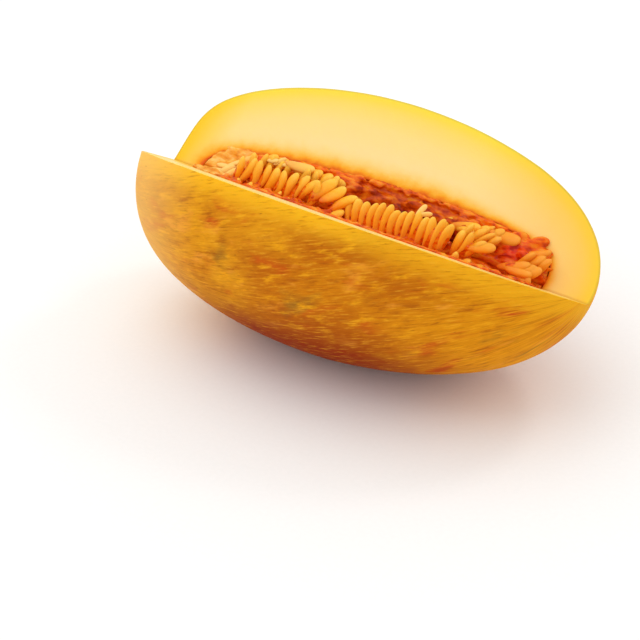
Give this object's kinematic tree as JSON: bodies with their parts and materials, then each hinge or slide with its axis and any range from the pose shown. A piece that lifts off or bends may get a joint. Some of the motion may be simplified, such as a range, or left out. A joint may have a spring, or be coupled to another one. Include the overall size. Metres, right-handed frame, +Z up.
{
  "type": "cut cantaloupe",
  "caption": "Long yellow melon lying on its side, with a wedge cut from its top that shows pale flesh, the seed cavity and the orange seeds in it.",
  "frame": {"origin": "middle of the flat spot that the melon rests on", "axes": "+X along the core towards the tapered blossom end, +Z up through the middle of the wedge cut"},
  "size_m": [0.2543, 0.15, 0.1138],
  "materials": {
    "rind_and_flesh": "smooth waxy golden rind with fine lengthwise streaks; moist pale flesh on the cut faces",
    "seeds": "wet and glossy orange seeds in red-orange pulp"
  },
  "bodies": {
    "root": {"melon_body": "rind_and_flesh", "seed_lobe_front": "seeds", "seed_lobe_rear": "seeds"}
  },
  "joints": []
}
